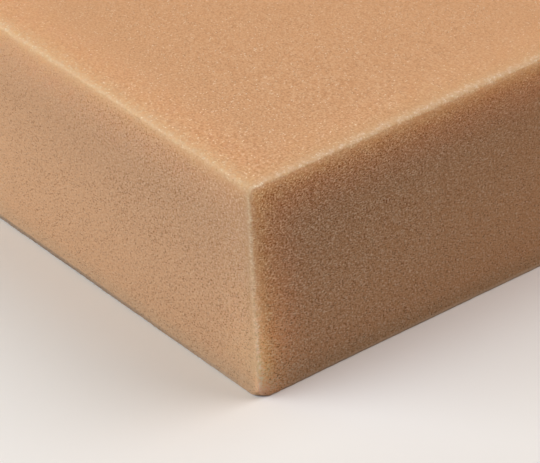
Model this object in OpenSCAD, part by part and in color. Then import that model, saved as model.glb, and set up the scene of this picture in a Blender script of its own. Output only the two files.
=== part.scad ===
// Foam block: a plain block of fine-celled flexible foam, cut square from a slab.
// The knife leaves the four upright corners slightly rounded, and the edges round the upper and
// lower faces are soft. Sizes are in millimetres, +Z is up, and the origin is the middle of the
// face that the block rests on.

/* [Block] */
// Length of the block, along X
block_length = 100; // [40:1:300]
// Width of the block, along Y
block_width = 100; // [40:1:300]
// Thickness of the slab that it is cut from, along Z
block_thickness = 50; // [15:1:150]

/* [Edges] */
// Radius of the upright corners, seen from above
corner_radius = 1; // [1:0.1:8]
// Radius of the soft edge round the upper face
upper_edge_radius = 0.7; // [0.2:0.1:0.9]
// Radius of the soft edge round the face that it rests on
lower_edge_radius = 0.6; // [0.2:0.1:0.9]

/* [Hidden] */

// Colour of the foam
foam_tan = [0.82, 0.62, 0.46];
// Sides of each rounded corner and edge
$fn = 64;

// Middles of the upright corners, out from the middle of the block
corner_x = block_length / 2 - corner_radius;
corner_y = block_width / 2 - corner_radius;
// Height at which the straight sides pass into the lower and the upper edge
side_bottom = lower_edge_radius;
side_top = block_thickness - upper_edge_radius;

// One quarter of a round edge: it fills the corner between the height z and the side at x = reach,
// and it curves down for up = -1 or up for up = 1.
module soft_edge(reach, z, radius, up) {
    translate([reach - radius, z])
        intersection() {
            circle(r = radius);
            translate([0, up > 0 ? 0 : -radius])
                square(radius);
        }
}

// Upright section of the foam from x = 0 out to its side at x = reach, with both soft edges
module half_section(reach) {
    translate([0, side_bottom])
        square([reach, side_top - side_bottom]);
    square([reach - lower_edge_radius, side_bottom]);
    translate([0, side_top])
        square([reach - upper_edge_radius, upper_edge_radius]);
    soft_edge(reach, side_bottom, lower_edge_radius, -1);
    soft_edge(reach, side_top, upper_edge_radius, 1);
}

// Whole upright section between two sides that are 2 * reach apart
module full_section(reach) {
    half_section(reach);
    mirror([1, 0])
        half_section(reach);
}

// Foam between two opposite sides, drawn along X and as long as run
module slab_along_x(run) {
    rotate([90, 0, 90])
        linear_extrude(height = run, center = true)
            full_section(block_width / 2);
}

// Foam between the other two sides, drawn along Y and as long as run
module slab_along_y(run) {
    rotate([90, 0, 0])
        linear_extrude(height = run, center = true)
            full_section(block_length / 2);
}

// Round post that closes the block at one upright corner
module corner_post() {
    rotate_extrude()
        half_section(corner_radius);
}

module foam_block() {
    color(foam_tan)
        union() {
            slab_along_x(2 * corner_x);
            slab_along_y(2 * corner_y);
            for (side_x = [-1, 1], side_y = [-1, 1])
                translate([side_x * corner_x, side_y * corner_y, 0])
                    corner_post();
        }
}

foam_block();
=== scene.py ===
import math
from types import SimpleNamespace

import bpy
import numpy as np
from mathutils import Matrix, Vector, noise


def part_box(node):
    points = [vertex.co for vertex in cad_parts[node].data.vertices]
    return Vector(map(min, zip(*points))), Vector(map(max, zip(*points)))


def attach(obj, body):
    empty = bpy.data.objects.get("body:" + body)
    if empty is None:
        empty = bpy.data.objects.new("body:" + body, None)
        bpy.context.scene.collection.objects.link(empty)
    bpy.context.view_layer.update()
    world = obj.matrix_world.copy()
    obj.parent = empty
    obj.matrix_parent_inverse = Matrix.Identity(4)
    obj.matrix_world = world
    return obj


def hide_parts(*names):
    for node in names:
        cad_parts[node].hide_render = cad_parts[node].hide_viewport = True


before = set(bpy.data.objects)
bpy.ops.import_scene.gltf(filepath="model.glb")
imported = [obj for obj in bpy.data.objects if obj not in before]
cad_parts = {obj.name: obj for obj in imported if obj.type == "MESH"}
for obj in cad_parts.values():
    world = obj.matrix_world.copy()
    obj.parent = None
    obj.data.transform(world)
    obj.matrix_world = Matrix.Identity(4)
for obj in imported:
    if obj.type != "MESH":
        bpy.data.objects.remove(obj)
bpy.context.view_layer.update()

MM = 0.001
# Keeps a division away from zero
TINY = 1e-12

# ---------------------------------------------------------------------------------------------
# Sizes of the block, from the frame. The near corner is the upper one that the camera sees first.

LOW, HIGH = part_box("foam_block")
HALF_LENGTH = (HIGH.x - LOW.x) / 2
HALF_WIDTH = (HIGH.y - LOW.y) / 2
THICKNESS = HIGH.z - LOW.z
NEAR_CORNER = Vector((-HALF_LENGTH, -HALF_WIDTH, HIGH.z))

# Radii of the skin at its upright corners and at the edges of its upper and lower face. They are
# a little crisper than the plain solid's.
CORNER_RADIUS = 0.65 * MM
UPPER_EDGE_RADIUS = 0.7 * MM
LOWER_EDGE_RADIUS = 0.3 * MM
# The four tips that the block stands on are worn rounder than the rest, up to TIP_REACH from each
TIP_CORNER_RADIUS = 3.4 * MM
TIP_EDGE_RADIUS = 0.65 * MM
TIP_REACH = 2.6 * MM

# Grid of the skin: close lines near the edges, and wider ones further in
EDGE_STEP = 0.2 * MM
EDGE_STEPS = 7
STEP_GROWTH = 1.25
FLAT_STEP = 0.74 * MM

# How far the upper face bows up along X and along Y
BOW_X, BOW_Y = 0.42 * MM, 0.16 * MM
# How far its four tips are pressed down, and how far in that reaches
TIP_DIP, DIP_REACH = 0.45 * MM, 5.0 * MM
# How far the near upright edge leans out of plumb, and how far along the sides that dies away
LEAN = 0.17 * MM
LEAN_REACH = 25.0 * MM
# Height and spacing of the drift that the knife leaves, of the torn cells, and of the worn edges
DRIFT_HEIGHT, DRIFT_SPACING = 0.06 * MM, 14.0 * MM
CELL_HEIGHT, CELL_SPACING = 0.035 * MM, 0.8 * MM
WEAR_HEIGHT, WEAR_SPACING = 0.16 * MM, 1.0 * MM
WEAR_REACH = 1.2 * MM
# A point that is no higher than this above the floor stands on it, and stays flat
STANDING_HEIGHT = 0.001 * MM

# ---------------------------------------------------------------------------------------------
# Camera. It looks down at the upright corner nearest to it, from far off through a long lens.

PICTURE_WIDTH, PICTURE_HEIGHT = 540, 463
CORNER_PIXEL = (250.2, 190.1)
HEADING = math.radians(53.11)
LOOK_DOWN = math.radians(32.79)
ROLL = math.radians(-2.36)
CAMERA_DISTANCE = 0.878
FOCAL_PIXELS = 4518.0
SENSOR_WIDTH_MM = 36.0


def camera_axes():
    """The camera's right, up and forward directions."""
    level = math.cos(LOOK_DOWN)
    forward = Vector((math.cos(HEADING) * level, math.sin(HEADING) * level, -math.sin(LOOK_DOWN)))
    right = Vector((math.sin(HEADING), -math.cos(HEADING), 0))
    up = right.cross(forward)
    turn = Matrix.Rotation(-ROLL, 3, forward)
    return turn @ right, turn @ up, forward


def place_camera():
    """Stands the camera so that the near upper corner of the block falls on CORNER_PIXEL."""
    right, up, forward = camera_axes()
    across = (CORNER_PIXEL[0] - PICTURE_WIDTH / 2) / FOCAL_PIXELS
    down = (CORNER_PIXEL[1] - PICTURE_HEIGHT / 2) / FOCAL_PIXELS
    lens = bpy.data.cameras.new("long_lens")
    lens.sensor_fit = "HORIZONTAL"
    lens.sensor_width = SENSOR_WIDTH_MM
    lens.lens = FOCAL_PIXELS / PICTURE_WIDTH * SENSOR_WIDTH_MM
    camera = bpy.data.objects.new("camera", lens)
    turn = Matrix((right, up, -forward)).transposed().to_4x4()
    place = NEAR_CORNER - CAMERA_DISTANCE * (forward + across * right - down * up)
    camera.matrix_world = Matrix.Translation(place) @ turn
    bpy.context.scene.collection.objects.link(camera)
    bpy.context.scene.camera = camera


# ---------------------------------------------------------------------------------------------
# Skin of the foam


def ruling(low, high):
    """Places of the grid lines from low to high: close at both ends, and wider further in."""
    steps = [EDGE_STEP] * EDGE_STEPS
    while steps[-1] * STEP_GROWTH < FLAT_STEP:
        steps.append(steps[-1] * STEP_GROWTH)
    edge_lines = np.cumsum([0.0] + steps)
    flat = high - low - 2 * edge_lines[-1]
    flat_lines = np.linspace(0, flat, round(flat / FLAT_STEP) + 1)[1:-1]
    return np.concatenate((low + edge_lines, low + edge_lines[-1] + flat_lines, (high - edge_lines)[::-1]))


def box_skin(lines):
    """Points and four-sided faces of a closed box that is ruled at these places along X, Y and Z."""
    shape = tuple(len(places) for places in lines)
    on_skin = np.zeros(shape, bool)
    for axis in range(3):
        np.moveaxis(on_skin, axis, 0)[[0, -1]] = True
    number = np.full(shape, -1)
    number[on_skin] = np.arange(np.count_nonzero(on_skin))
    faces = []
    for axis in range(3):
        for end in (0, -1):
            side = np.moveaxis(number, axis, 0)[end]
            quads = np.stack((side[:-1, :-1], side[1:, :-1], side[1:, 1:], side[:-1, 1:]), -1)
            inward = (end == 0) != (axis == 1)
            faces.append(quads.reshape(-1, 4)[:, :: -1 if inward else 1])
    return np.stack(np.meshgrid(*lines, indexing="ij"), -1)[on_skin], np.concatenate(faces)


def bent(along, across):
    """Bends the two flats of a square corner into one round one. Both are measured from the middle
    of the arc towards a flat, and a point keeps its distance out."""
    out = np.maximum(along, across)
    slope = np.minimum(along, across) / np.maximum(out, TINY)
    turn = np.where(along >= across, slope, 2 - slope) * math.pi / 4
    return out * np.cos(turn), out * np.sin(turn)


def rolled(inset, depth, radius):
    """New inset and depth of points near an edge, where the face rolls over into the side.
    The inset is measured in from the side, and the depth from the upper or the lower face."""
    along, across = radius - inset, radius - depth
    near = (along > 0) & (across > 0)
    along_arc, across_arc = bent(np.where(near, along, 1), np.where(near, across, 1))
    return np.where(near, radius - along_arc, inset), np.where(near, radius - across_arc, depth)


def fading(distance, reach):
    """1 at a worn tip, and softly down to 0 at this reach from it."""
    left = np.clip(1 - distance / reach, 0, 1)
    return left * left * (3 - 2 * left)


def rounded_block(points):
    """Rounds the sharp box: first the edges of the two faces, then the upright corners."""
    x, y = np.abs(points[:, 0]), np.abs(points[:, 1])
    z = points[:, 2] - LOW.z
    inset = np.minimum(HALF_LENGTH - x, HALF_WIDTH - y)
    upper = z > THICKNESS / 2
    depth = np.where(upper, THICKNESS - z, z)
    worn_low = fading(z, TIP_REACH)
    worn_out = fading(np.hypot(HALF_LENGTH - x, HALF_WIDTH - y), TIP_REACH) * worn_low
    lower_radius = LOWER_EDGE_RADIUS + (TIP_EDGE_RADIUS - LOWER_EDGE_RADIUS) * worn_out
    corner_radius = CORNER_RADIUS + (TIP_CORNER_RADIUS - CORNER_RADIUS) * worn_low
    radius = np.where(upper, UPPER_EDGE_RADIUS, lower_radius)
    new_inset, new_depth = rolled(inset, depth, radius)
    z = np.where(upper, THICKNESS - new_depth, new_depth)

    past_x = x - (HALF_LENGTH - corner_radius)
    past_y = y - (HALF_WIDTH - corner_radius)
    shrink = (corner_radius - new_inset) / np.maximum(corner_radius - inset, TINY)
    near = inset < corner_radius
    past_x = np.where(near & (past_x > 0), past_x * shrink, past_x)
    past_y = np.where(near & (past_y > 0), past_y * shrink, past_y)
    corner = (past_x > 0) & (past_y > 0)
    round_x, round_y = bent(np.where(corner, past_x, 1), np.where(corner, past_y, 1))
    past_x = np.where(corner, round_x, past_x)
    past_y = np.where(corner, round_y, past_y)
    x = past_x + HALF_LENGTH - corner_radius
    y = past_y + HALF_WIDTH - corner_radius
    return np.stack((np.copysign(x, points[:, 0]), np.copysign(y, points[:, 1]), z + LOW.z), -1)


def edge_nearness(points):
    """1 at an edge of the block, down to 0 at WEAR_REACH from it."""
    insets = np.stack((HALF_LENGTH - np.abs(points[:, 0]), HALF_WIDTH - np.abs(points[:, 1]),
                       np.minimum(HIGH.z - points[:, 2], points[:, 2] - LOW.z)), -1)
    from_edge = np.sort(insets, axis=1)[:, 1]
    return np.clip(1 - from_edge / WEAR_REACH, 0, 1)


def rough(points, spacing):
    """Smooth random heights between about -1 and 1, whose bumps are one spacing apart."""
    return np.array([noise.noise(Vector(p)) for p in points / spacing])


def crowned(points):
    """Lifts the upper half of the block towards the middle of its upper face, and presses its
    upper tips down."""
    rise = (points[:, 2] - LOW.z) / THICKNESS
    x = points[:, 0] / HALF_LENGTH
    y = points[:, 1] / HALF_WIDTH
    bow = BOW_X * (1 - x**2) + BOW_Y * (1 - y**2)
    from_tip = np.hypot(HALF_LENGTH - abs(points[:, 0]), HALF_WIDTH - abs(points[:, 1]))
    points[:, 2] += np.clip(2 * rise - 1, 0, 1) * (bow - TIP_DIP * fading(from_tip, DIP_REACH))
    return points


def leaning(points):
    """Leans the near upright edge, as the knife left it: across the view, and most at both ends."""
    from_corner = np.hypot(points[:, 0] + HALF_LENGTH, points[:, 1] + HALF_WIDTH)
    share = np.clip(1 - from_corner / LEAN_REACH, 0, 1) * (1 - 2 * (points[:, 2] - LOW.z) / THICKNESS)
    points[:, 0] += LEAN * math.sin(HEADING) * share
    points[:, 1] -= LEAN * math.cos(HEADING) * share
    return points


def foam_skin():
    """The block's closed skin, with its crown, the knife's drift, torn cells and worn edges."""
    lines = (ruling(-HALF_LENGTH, HALF_LENGTH), ruling(-HALF_WIDTH, HALF_WIDTH), ruling(LOW.z, HIGH.z))
    points, faces = box_skin(lines)
    points = leaning(crowned(rounded_block(points)))
    mesh = bpy.data.meshes.new("foam")
    mesh.from_pydata(points.tolist(), [], faces.tolist())
    mesh.update()
    normals = np.array([normal.vector for normal in mesh.vertex_normals])
    height = DRIFT_HEIGHT * rough(points, DRIFT_SPACING)
    height += CELL_HEIGHT * rough(points, CELL_SPACING)
    height -= WEAR_HEIGHT * edge_nearness(points) * np.abs(rough(points, WEAR_SPACING))
    standing = points[:, 2] < LOW.z + STANDING_HEIGHT
    points = points + normals * np.where(standing, 0, height)[:, None]
    points[:, 2] = np.maximum(points[:, 2], LOW.z)
    mesh.vertices.foreach_set("co", points.astype(np.float32).ravel())
    mesh.polygons.foreach_set("use_smooth", np.ones(len(mesh.polygons), bool))
    mesh.update()
    return mesh


# ---------------------------------------------------------------------------------------------
# Materials


class Wire:
    """A socket that can be used in sums: each operator adds the Math node that it stands for."""

    def __init__(self, bench, socket):
        self.bench = bench
        self.socket = socket

    def __add__(self, other):
        return self.bench.maths("ADD", self, other)

    def __sub__(self, other):
        return self.bench.maths("SUBTRACT", self, other)

    def __mul__(self, other):
        return self.bench.maths("MULTIPLY", self, other)

    def __truediv__(self, other):
        return self.bench.maths("DIVIDE", self, other)

    def __rsub__(self, other):
        return self.bench.maths("SUBTRACT", other, self)

    def __abs__(self):
        return self.bench.maths("ABSOLUTE", self)

    __radd__ = __add__
    __rmul__ = __mul__


# Sockets of a Mix node that mixes two colours
MIX_FACTOR, MIX_ONE, MIX_OTHER, MIX_RESULT = 0, 6, 7, 2


class Bench:
    """The node tree of one material or world, where its nodes are made and joined."""

    def __init__(self, owner):
        owner.use_nodes = True
        self.tree = owner.node_tree
        self.tree.nodes.clear()

    def node(self, kind, settings=None, sockets=None, output=0):
        """Adds a node: first its settings, then the values or wires of its sockets. Gives back the
        wire of one output."""
        made = self.tree.nodes.new("ShaderNode" + kind)
        for name, value in (settings or {}).items():
            setattr(made, name, value)
        for name, value in (sockets or {}).items():
            if isinstance(value, Wire):
                self.tree.links.new(value.socket, made.inputs[name])
            else:
                made.inputs[name].default_value = value
        return Wire(self, made.outputs[output]) if made.outputs else None

    def maths(self, operation, *values):
        """A Math node that works on these values or wires."""
        return self.node("Math", {"operation": operation}, dict(enumerate(values)))

    def least(self, one, other):
        return self.maths("MINIMUM", one, other)

    def most(self, one, other):
        return self.maths("MAXIMUM", one, other)

    def ramp(self, value, start, end, low=0.0, high=1.0):
        """A soft step of value: low up to start, high from end on."""
        sockets = {"Value": value, "From Min": start, "From Max": end, "To Min": low, "To Max": high}
        return self.node("MapRange", {"interpolation_type": "SMOOTHSTEP"}, sockets)

    def blend(self, factor, one, other):
        """Colour one where factor is 0, and other where it is 1."""
        sockets = {MIX_FACTOR: factor, MIX_ONE: one, MIX_OTHER: other}
        return self.node("Mix", {"data_type": "RGBA"}, sockets, output=MIX_RESULT)

    def split(self, kind, value):
        """The three parts of a colour or a vector, by a node of this kind."""
        made = self.node(kind, None, {0: value}).socket.node
        return [Wire(self, socket) for socket in made.outputs[:3]]

    def cells(self, place, width, shift):
        """Random cells of this width: the distance to each one's middle, and its own chance number."""
        moved = self.node("VectorMath", {"operation": "ADD"}, {0: place, 1: shift})
        made = self.node("TexVoronoi", None, {"Vector": moved, "Scale": 1 / width}).socket.node
        chance = self.split("SeparateColor", Wire(self, made.outputs["Color"]))[0]
        return Wire(self, made.outputs["Distance"]), chance


def colour(red, green, blue):
    """A colour that hides what is behind it."""
    return (red, green, blue, 1.0)


# ---------------------------------------------------------------------------------------------
# Foam. Lengths here are in millimetres, unless they are times MM. Where a pair of places, widths or
# heights is given, a change starts at the first and is full at the second, and a second pair gives
# its value at both.
#
# The block has two pairs of sides: the X sides face along X, and the Y sides face along Y. The Y sides get
# stronger painted shade in their pores, and painted light and shade of their own.

FOAM_TAN = colour(0.66, 0.345, 0.170)
# Painted glow of light through the foam, on the Y sides beside the upright edges
GLOW_WARM_TAN = colour(0.66, 0.334, 0.163)
# Painted shade in the pores' hollows, also the dark end of the grain
PORE_SHADE_AND_GRAIN_BROWN = colour(0.28, 0.085, 0.01)
# The struts' own pale colour, also used for the painted glints and the painted light at the foot
STRUT_AND_HIGHLIGHT_CREAM = colour(0.90, 0.70, 0.49)
# Colours of the painted glow along the edges, where light comes through the foam
RIM_CREAM = colour(0.62, 0.395, 0.245)
Y_RIM_CREAM = colour(0.745, 0.47, 0.295)
UPRIGHT_CREAM = colour(0.81, 0.535, 0.318)
Y_UPRIGHT_CREAM = colour(0.81, 0.50, 0.355)
UPRIGHT_FOOT_CREAM = colour(0.95, 0.475, 0.248)
Y_UPRIGHT_FOOT_CREAM = colour(0.98, 0.458, 0.272)
# Painted shade where the foam meets the floor: the brown of the contact shadow, and the green of the shaded
# foot
CONTACT_SHADOW_BROWN = colour(0.20, 0.155, 0.12)
FOOT_SHADE_GREEN = colour(0.16, 0.28, 0.21)

# How wide the change from one face to the next is at an edge, and on the upper face, how far the change
# from the rim beside an X side to the rim beside a Y side reaches to either side of the line between them
EDGE_BLEND, RIM_BLEND = 0.6, 2.0


class Spot:
    """A point of the foam: its place, its distances, and how far it lies in each zone."""

    def __init__(self, bench):
        place = bench.node("TexCoord", output="Object")
        self.place = bench.node("VectorMath", {"operation": "SCALE"}, {0: place, "Scale": 1 / MM})
        self.x, self.y, z = bench.split("SeparateXYZ", self.place)
        self.from_side_x = HALF_LENGTH / MM - abs(self.x)
        self.from_side_y = HALF_WIDTH / MM - abs(self.y)
        self.above_floor = z - LOW.z / MM
        self.below_top = HIGH.z / MM - z
        nearest = bench.least(self.from_side_x, self.from_side_y)
        self.from_upright = bench.most(self.from_side_x, self.from_side_y)
        # Only upper and upright edges count here, because the lower ones don't show
        self.from_edge = bench.most(nearest, bench.least(self.from_upright, self.below_top))

        half = EDGE_BLEND / 2
        from_face = bench.least(self.below_top, self.above_floor)
        self.on_side = bench.ramp(nearest - from_face, half, -half)
        self.on_y_side = self.on_side * bench.ramp(self.from_side_y - self.from_side_x, half, -half)
        self.toward_y_side = bench.ramp(self.from_side_x - self.from_side_y, -RIM_BLEND, RIM_BLEND)

    def by_zone(self, rim, y_rim, side, y_side):
        """One of four values: on the upper face beside an X side and beside a Y side, on an X side, and on
        a Y side."""
        on_face = rim + self.toward_y_side * (y_rim - rim)
        return on_face + self.on_side * (side - on_face) + self.on_y_side * (y_side - side)


# Widths of the open cells, of the torn struts between them, and of the soft grain
CELL_WIDTH, STRUT_WIDTH, GRAIN_WIDTH = 0.44, 0.42, 0.50
# How much finer than that the cells are along X, Y and Z: they lie flat in the slab
CELL_FINENESS = (1.12, 0.95, 1.55)
# How far each pattern is moved, so that no strut belongs to a cell
CELL_SHIFT, STRUT_SHIFT = (0.0, 0.0, 0.0), (7.3, 2.9, 5.1)
# Which cells and struts have a mark, by their chance numbers, and where it shows in them, by the
# distance from their middle in cell widths
PORE_CHANCES, PORE_PLACES = (0.68, 1.0), (0.60, 0.20)
RIM_CHANCES, RIM_PLACES = (0.2, 0.9), (0.42, 0.75)
GLINT_CHANCES, CREST_GLINT_CHANCES, STRUT_PLACES = (0.80, 1.0), (0.4, 1.0), (0.52, 0.10)
# Which part of the soft grain is dark, and which is light
DARK_GRAIN, LIGHT_GRAIN = (0.52, 0.28), (0.48, 0.72)


def cut_cells(bench, spot):
    """The marks of the cut cells, each from 0 where it is missing to 1 where it is full."""
    flat = bench.node("VectorMath", {"operation": "MULTIPLY"}, {0: spot.place, 1: CELL_FINENESS})
    cell_middle, cell_chance = bench.cells(flat, CELL_WIDTH, CELL_SHIFT)
    strut_middle, strut_chance = bench.cells(flat, STRUT_WIDTH, STRUT_SHIFT)
    grain = bench.node("TexNoise", None, {"Vector": flat, "Scale": 1 / GRAIN_WIDTH, "Detail": 1.0})
    strut = bench.ramp(strut_middle, *STRUT_PLACES)
    # The pores' dark is painted shade in their hollows, and the glints and crest glints are painted
    # highlights
    return SimpleNamespace(
        pore=bench.ramp(cell_chance, *PORE_CHANCES) * bench.ramp(cell_middle, *PORE_PLACES),
        rim=bench.ramp(cell_middle, *RIM_PLACES) * bench.ramp(strut_chance, *RIM_CHANCES),
        glint=bench.ramp(strut_chance, *GLINT_CHANCES) * strut,
        crest_glint=bench.ramp(strut_chance, *CREST_GLINT_CHANCES) * strut,
        strut_chance=strut_chance,
        grain=grain,
        dark_grain=bench.ramp(grain, *DARK_GRAIN),
        light_grain=bench.ramp(grain, *LIGHT_GRAIN),
    )


# How far the pores' painted shade, the rims of the cells, the dark and the light grain and the painted
# glints change the foam: on the upper and lower faces, on the X sides, and on the Y sides. How they differ
# from face to face is painted light and shade, for how the light falls on each face.
FACE_LOOK = (0.10, 0.05, 0.26, 0.18, 1.15)
SIDE_LOOK = (1.0, 0.05, 0.25, 0.26, 0.15)
Y_SIDE_LOOK = (1.35, 0.62, 0.53, 0.62, 1.10)
# Along an edge the cut presses the cells shut, down to a share of their marks, and further in they
# are open. On the sides they open sooner, by a factor.
SHUT_WIDTHS, SHUT_SHARE = (0.5, 4.5), 0.35
SIDE_OPENS_SOONER = 1.3
# The marks grow weaker with the distance from the near corner
FADE_REACH, FADE_SHARE = (0.0, 100.0), (1.22, 0.55)
# On the X sides they are weaker low down and stronger high up, but not far from that corner
HIGH_OPEN_HEIGHTS, HIGH_OPEN_CHANGE = (8.0, 38.0), (-0.14, 0.16)
HIGH_OPEN_REACH = (75.0, 40.0)


def mark_strengths(bench, spot):
    """How strong the pores, the rims, the dark and the light grain and the glints are here."""
    from_edge = spot.from_edge * (1.0 + (SIDE_OPENS_SOONER - 1.0) * spot.on_side)
    openness = bench.ramp(from_edge, *SHUT_WIDTHS, SHUT_SHARE, 1.0)
    sockets = {0: spot.place, 1: NEAR_CORNER / MM}
    away = bench.node("VectorMath", {"operation": "DISTANCE"}, sockets, output="Value")
    openness = openness * bench.ramp(away, *FADE_REACH, *FADE_SHARE)
    high_open = bench.ramp(spot.above_floor, *HIGH_OPEN_HEIGHTS, *HIGH_OPEN_CHANGE)
    high_open = high_open * bench.ramp(away, *HIGH_OPEN_REACH)
    openness = openness * (1.0 + (spot.on_side - spot.on_y_side) * high_open)
    return [openness * (face + spot.on_side * (side - face) + spot.on_y_side * (y_side - side))
            for face, side, y_side in zip(FACE_LOOK, SIDE_LOOK, Y_SIDE_LOOK)]


# A painted glow along the edges, where light comes through the foam, by zone: how wide the band along them
# is, and how strong. It is full over a share of its width, and starts a little above the floor.
BAND_WIDTHS = (6.0, 3.0, 1.8, 3.2)
BAND_STRENGTHS = (0.53, 1.0, 0.85, 0.85)
BAND_FULL_SHARE = 0.03
BAND_HEIGHTS = (0.3, 0.9)
# What is left of it on the sides along the top, and how far down it is whole again
UNDER_RIM, Y_UNDER_RIM = 0.26, 0.39
RIM_DEPTHS = (0.5, 4.0)
# What is left of it high up along the upright edges, on the Y sides
HIGH_UP_HEIGHTS, Y_HIGH_UP = (5.0, 40.0), 0.36
# How pale each strut in it is, by its chance number, and how the band frays
STRUT_PALENESS = (0.3, 1.0)
FRAY_WIDTH, FRAY_NOISE, FRAY = 1.0, (0.35, 0.65), (0.42, 1.42)


def painted_edge_glow(bench, spot, strut_chance):
    """How strong the painted glow of light through the foam is along its edges."""
    whole = bench.ramp(spot.below_top, *RIM_DEPTHS)
    high_up = bench.ramp(spot.above_floor, *HIGH_UP_HEIGHTS, 1.0, Y_HIGH_UP)
    kept = spot.by_zone(1.0, 1.0, UNDER_RIM + whole * (1.0 - UNDER_RIM),
                        Y_UNDER_RIM + whole * (high_up - Y_UNDER_RIM))
    fray = bench.node("TexNoise", None, {"Vector": spot.place, "Scale": 1 / FRAY_WIDTH, "Detail": 1.0})
    band = bench.ramp(spot.from_edge / spot.by_zone(*BAND_WIDTHS), 1.0, BAND_FULL_SHARE)
    band = band * bench.ramp(spot.above_floor, *BAND_HEIGHTS)
    band = band * spot.by_zone(*BAND_STRENGTHS) * kept
    return band * bench.ramp(strut_chance, 0.0, 1.0, *STRUT_PALENESS) * bench.ramp(fray, *FRAY_NOISE, *FRAY)


def edge_glow_cream(bench, spot):
    """Colour of the painted glow along the edges. Along the upright ones it gets redder towards the foot.
    """
    rim_cream = bench.blend(spot.toward_y_side, RIM_CREAM, Y_RIM_CREAM)
    upright_cream = bench.blend(spot.on_y_side, UPRIGHT_CREAM, Y_UPRIGHT_CREAM)
    foot_cream = bench.blend(spot.on_y_side, UPRIGHT_FOOT_CREAM, Y_UPRIGHT_FOOT_CREAM)
    side_cream = bench.blend(bench.ramp(spot.below_top, 0.0, THICKNESS / MM), upright_cream, foot_cream)
    return bench.blend(spot.on_side, rim_cream, side_cream)


# The slab's tone with painted light and shade, as changes that are added to 1. On all sides it goes by
# height, painted paler low down and darker high up, and beside the upright edges by height once more, as a
# painted glow
TONE_HEIGHTS, TONE_CHANGE = (10.0, 44.0), (0.04, -0.10)
CORNER_WIDTHS = (16.0, 2.0)
CORNER_HEIGHTS, CORNER_CHANGE = (5.0, 42.0), (0.075, -0.04)
# What the Y sides have on top of that beside the upright edges: more painted glow
Y_CORNER_HEIGHTS, Y_CORNER_CHANGE = (0.0, 32.0), (0.17, -0.02)
# The low end of each upright edge has a painted highlight, and on the Y sides the foam beside it too
RIDGE_WIDTHS, RIDGE_HEIGHTS, RIDGE_CHANGE = (3.0, 0.8), (8.0, 2.5), 0.17
Y_TIP_WIDTHS, Y_TIP_HEIGHTS, Y_TIP_CHANGE = (9.0, 1.0), (8.0, 2.5), 0.30
# From end to end it goes by Y on the X sides, and by X on the Y sides
END_PLACES = (-40.0, 45.0)
END_CHANGE, Y_END_CHANGE = (-0.03, 0.045), (0.0, 0.05)
# The upper face is darker towards the X sides
FACE_RIM_WIDTHS, FACE_RIM_CHANGE = (9.0, 1.0), -0.045


def slab_tone_and_painted_light(bench, spot):
    """The slab's tone with its painted light and shade: above 1 where it is paler than its own colour, and
    below 1 where darker.
    """
    def beside_upright(widths, heights):
        return bench.ramp(spot.from_upright, *widths) * bench.ramp(spot.above_floor, *heights)

    beside = bench.ramp(spot.from_upright, *CORNER_WIDTHS)
    along_y = bench.ramp(spot.y, *END_PLACES, *END_CHANGE)
    side = bench.ramp(spot.above_floor, *TONE_HEIGHTS, *TONE_CHANGE)
    side = side + beside * bench.ramp(spot.above_floor, *CORNER_HEIGHTS, *CORNER_CHANGE) + along_y
    side = side + beside_upright(RIDGE_WIDTHS, RIDGE_HEIGHTS) * RIDGE_CHANGE
    more_on_y_side = beside * bench.ramp(spot.above_floor, *Y_CORNER_HEIGHTS, *Y_CORNER_CHANGE)
    more_on_y_side = more_on_y_side + beside_upright(Y_TIP_WIDTHS, Y_TIP_HEIGHTS) * Y_TIP_CHANGE
    more_on_y_side = more_on_y_side - along_y + bench.ramp(spot.x, *END_PLACES, *Y_END_CHANGE)
    face = bench.ramp(spot.from_side_x, *FACE_RIM_WIDTHS) * FACE_RIM_CHANGE
    return 1.0 + spot.on_side * side + spot.on_y_side * more_on_y_side + (1.0 - spot.on_side) * face


# Painted shade at the foot: it is a little greener, except near the tips. On the X sides the tips are so as
# well, but only further down.
TIP_WIDTHS = (11.0, 2.0)
GREEN_HEIGHTS, TIP_GREEN_HEIGHTS, GREEN_STRENGTH = (6.0, 1.5), (4.6, 2.6), 0.12
# A painted contact shadow: a thin dark line where the X sides meet the floor. It goes with the grain, and
# grows with Y
LINE_HEIGHTS, LINE_STRENGTH = (1.5, 0.7), 0.36
LINE_GRAIN, LINE_GRAIN_SHARE = (0.3, 0.6), (0.6, 1.0)
LINE_PLACES, LINE_SHARE = (-30.0, 15.0), (1.0, 2.0)
# Painted light: the lowest foam catches light from the floor, on the X sides only near the front, by Y, and
# on the Y sides all along, and more with X. The tips have it on the Y sides alone.
LIT_HEIGHTS, LIT_STRENGTH = (1.2, 0.5), 0.33
LIT_PLACES, LIT_SHARE = (-45.0, -20.0), (0.5, 0.0)
Y_LIT_PLACES, Y_LIT_SHARE = (-40.0, 10.0), (1.1, 1.9)
LIT_TIP_WIDTHS, LIT_TIP_HEIGHTS, LIT_TIP_STRENGTH = (4.0, 1.5), (4.0, 2.0), 0.26


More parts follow.
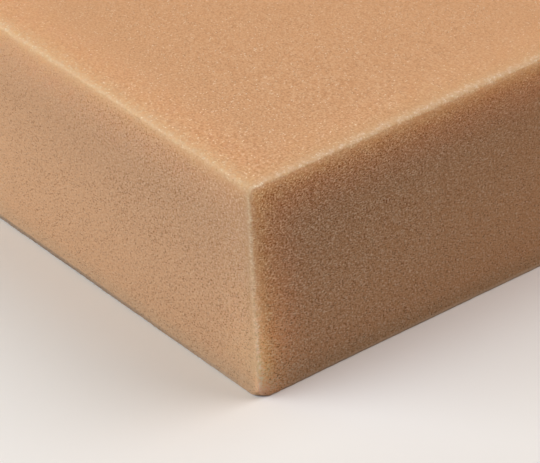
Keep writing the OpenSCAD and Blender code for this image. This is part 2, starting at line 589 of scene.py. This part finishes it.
def with_foot(bench, spot, grain, above):
    """The colour above, with painted shade and light where the foam meets the floor."""
    on_x_side = 1.0 - spot.on_y_side
    at_tip = bench.ramp(spot.from_upright, *TIP_WIDTHS)
    off_tip = 1.0 - at_tip

    tip_green = bench.ramp(spot.above_floor, *TIP_GREEN_HEIGHTS) * at_tip * on_x_side
    green = (bench.ramp(spot.above_floor, *GREEN_HEIGHTS) * off_tip + tip_green) * GREEN_STRENGTH
    greened = bench.blend(green, above, FOOT_SHADE_GREEN)

    line = bench.ramp(spot.above_floor, *LINE_HEIGHTS) * bench.ramp(grain, *LINE_GRAIN, *LINE_GRAIN_SHARE)
    line = line * on_x_side * off_tip * bench.ramp(spot.y, *LINE_PLACES, *LINE_SHARE) * LINE_STRENGTH
    lined = bench.blend(line, greened, CONTACT_SHADOW_BROWN)

    share = bench.ramp(spot.y, *LIT_PLACES, *LIT_SHARE)
    y_side_share = bench.ramp(spot.x, *Y_LIT_PLACES, *Y_LIT_SHARE)
    share = share + spot.on_y_side * (y_side_share - share)
    lit = bench.ramp(spot.above_floor, *LIT_HEIGHTS) * off_tip * share * LIT_STRENGTH
    lit_tip = spot.on_y_side * bench.ramp(spot.from_upright, *LIT_TIP_WIDTHS)
    lit_tip = lit_tip * bench.ramp(spot.above_floor, *LIT_TIP_HEIGHTS) * LIT_TIP_STRENGTH
    return bench.blend(lit + lit_tip, lined, STRUT_AND_HIGHLIGHT_CREAM)


# Painted glow of light through the foam: the Y sides are warmer beside the upright edges
WARM_WIDTHS = (28.0, 10.0)
# How bright the painted glints stand out in the painted glow along the edges
CREST_GLINTS = 0.75
FOAM_ROUGHNESS = 0.9
FOAM_SPECULAR = 0.25
# Height of the pores, and of the rims of the cells as a share of that
PORE_RELIEF = 0.08 * MM
RIM_RELIEF = 0.8
# Light runs through the foam near its upper and upright edges: how far each colour gets, how far in
# from an edge that shows, and from which height above the floor
BLEED_DEPTH = 22.0 * MM
BLEED_COLOURS = (1.0, 0.92, 0.72)
BLEED_WIDTHS, BLEED_HEIGHTS = (15.0, 6.0), (0.5, 9.0)


def foam_colour(bench, spot, cells):
    """Tan foam with a painted glow along its edges, painted shade in its pores, pale struts and painted
    glints, and painted shade and light at its foot.
    """
    band = painted_edge_glow(bench, spot, cells.strut_chance)
    glow_warmth = spot.on_y_side * bench.ramp(spot.from_upright, *WARM_WIDTHS)
    tan = bench.blend(glow_warmth, FOAM_TAN, GLOW_WARM_TAN)
    plain = bench.blend(bench.least(band, 1.0), tan, edge_glow_cream(bench, spot))
    body = bench.node("VectorMath", {"operation": "SCALE"}, {0: plain, "Scale": slab_tone_and_painted_light(bench, spot)})

    pore_shade, rim_shine, dark_shade, light_shine, glint_shine = mark_strengths(bench, spot)
    shade = cells.pore * pore_shade + cells.dark_grain * dark_shade
    shine = cells.rim * rim_shine + cells.light_grain * light_shine + cells.glint * glint_shine
    shine = shine + cells.crest_glint * band * CREST_GLINTS
    pored = bench.blend(bench.least(shade, 1.0), body, PORE_SHADE_AND_GRAIN_BROWN)
    strutted = bench.blend(bench.least(shine, 1.0), pored, STRUT_AND_HIGHLIGHT_CREAM)
    return with_foot(bench, spot, cells.grain, strutted)


def foam_material():
    """Open fine-celled foam. Near its edges light runs through it."""
    material = bpy.data.materials.new("tan_foam")
    bench = Bench(material)
    spot = Spot(bench)
    cells = cut_cells(bench, spot)
    height = RIM_RELIEF * cells.rim + cells.grain - cells.pore
    surface = {
        "Base Color": foam_colour(bench, spot, cells),
        "Roughness": FOAM_ROUGHNESS,
        "Specular IOR Level": FOAM_SPECULAR,
        "Normal": bench.node("Bump", None, {"Strength": 1.0, "Distance": PORE_RELIEF, "Height": height}),
    }
    lit_through = {
        "Subsurface Weight": 1.0,
        "Subsurface Radius": BLEED_COLOURS,
        "Subsurface Scale": BLEED_DEPTH,
    }
    solid_foam = bench.node("BsdfPrincipled", None, surface)
    edge_foam = bench.node("BsdfPrincipled", {"subsurface_method": "RANDOM_WALK"}, surface | lit_through)
    near_edge = bench.ramp(spot.from_edge, *BLEED_WIDTHS) * bench.ramp(spot.above_floor, *BLEED_HEIGHTS)
    foam = bench.node("MixShader", None, {0: near_edge, 1: solid_foam, 2: edge_foam})
    bench.node("OutputMaterial", None, {"Surface": foam})
    return material


# ---------------------------------------------------------------------------------------------
# Floor. It gives back this share of the light that its look stands for, and is this wide in metres.

FLOOR_WHITE = colour(0.88, 0.83, 0.785)
FLOOR_BOUNCE = 0.5
FLOOR_SIZE = 8.0


def floor_material():
    """Pale matt floor: the camera sees it in full, and the block gets FLOOR_BOUNCE of its light."""
    material = bpy.data.materials.new("pale_floor")
    bench = Bench(material)
    seen = bench.node("LightPath", output="Is Camera Ray")
    red, green, blue, _ = FLOOR_WHITE
    dimmed = colour(FLOOR_BOUNCE * red, FLOOR_BOUNCE * green, FLOOR_BOUNCE * blue)
    shader = bench.node("BsdfPrincipled", None, {
        "Base Color": bench.blend(seen, dimmed, FLOOR_WHITE),
        "Roughness": 1.0,
        "Specular IOR Level": 0.0,
    })
    bench.node("OutputMaterial", None, {"Surface": shader})
    return material


def lay_floor():
    """Lays the floor under the block, as part of the stage."""
    half = FLOOR_SIZE / 2
    corners = [(-half, -half, LOW.z), (half, -half, LOW.z), (half, half, LOW.z), (-half, half, LOW.z)]
    mesh = bpy.data.meshes.new("floor")
    mesh.from_pydata(corners, [], [(0, 1, 2, 3)])
    mesh.materials.append(floor_material())
    floor = bpy.data.objects.new("floor", mesh)
    bpy.context.scene.collection.objects.link(floor)


# ---------------------------------------------------------------------------------------------
# Light. Round soft lamps, all at one distance from the near corner. Each one: its bearing to the
# left of where the camera looks, its height, the width of sky that it fills, all in degrees, and
# the light that it gives at the near corner, as red, green and blue in watts a square metre.

LAMP_DISTANCE = 0.9
SOFT_LAMPS = {
    "left_lamp": (100, 24, 55, (2.23, 2.62, 3.12)),
    "upper_left_lamp": (80, 55, 50, (0.60, 0.43, 0.13)),
    "right_lamp": (275, 40, 50, (0.91, 0.69, 0.56)),
    "upper_right_lamp": (295, 60, 50, (1.28, 1.44, 1.58)),
}


def hang_lamp(name, bearing, height, width, strength):
    """Hangs one round lamp, which faces the near corner."""
    towards = HEADING + math.radians(bearing)
    up = math.radians(height)
    direction = Vector((math.cos(towards) * math.cos(up), math.sin(towards) * math.cos(up), math.sin(up)))
    radius = LAMP_DISTANCE * math.tan(math.radians(width) / 2)
    lamp = bpy.data.lights.new(name, "AREA")
    lamp.shape = "DISK"
    lamp.size = 2 * radius
    lamp.energy = max(strength) * math.pi * (radius**2 + LAMP_DISTANCE**2)
    lamp.color = [part / max(strength) for part in strength]
    hung = bpy.data.objects.new(name, lamp)
    hung.rotation_euler = direction.to_track_quat("Z", "Y").to_euler()
    hung.location = NEAR_CORNER + LAMP_DISTANCE * direction
    bpy.context.scene.collection.objects.link(hung)


def light_room():
    """Hangs the lamps, and shows the floor's white behind everything without lighting the block."""
    for name, lamp in SOFT_LAMPS.items():
        hang_lamp(name, *lamp)
    world = bpy.data.worlds.new("room")
    bpy.context.scene.world = world
    bench = Bench(world)
    seen = bench.node("LightPath", output="Is Camera Ray")
    glow = bench.node("Background", None, {"Color": FLOOR_WHITE, "Strength": seen})
    bench.node("OutputWorld", None, {"Surface": glow})


# ---------------------------------------------------------------------------------------------
# The block itself, and the order of the work


def dress_block():
    """Puts the foam's skin and material in place of the plain solid."""
    mesh = foam_skin()
    mesh.materials.append(foam_material())
    block = bpy.data.objects.new("foam_block_cut", mesh)
    bpy.context.scene.collection.objects.link(block)
    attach(block, "root")
    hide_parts("foam_block")


place_camera()
light_room()
lay_floor()
dress_block()

scene = bpy.context.scene
scene.view_settings.view_transform = "Standard"
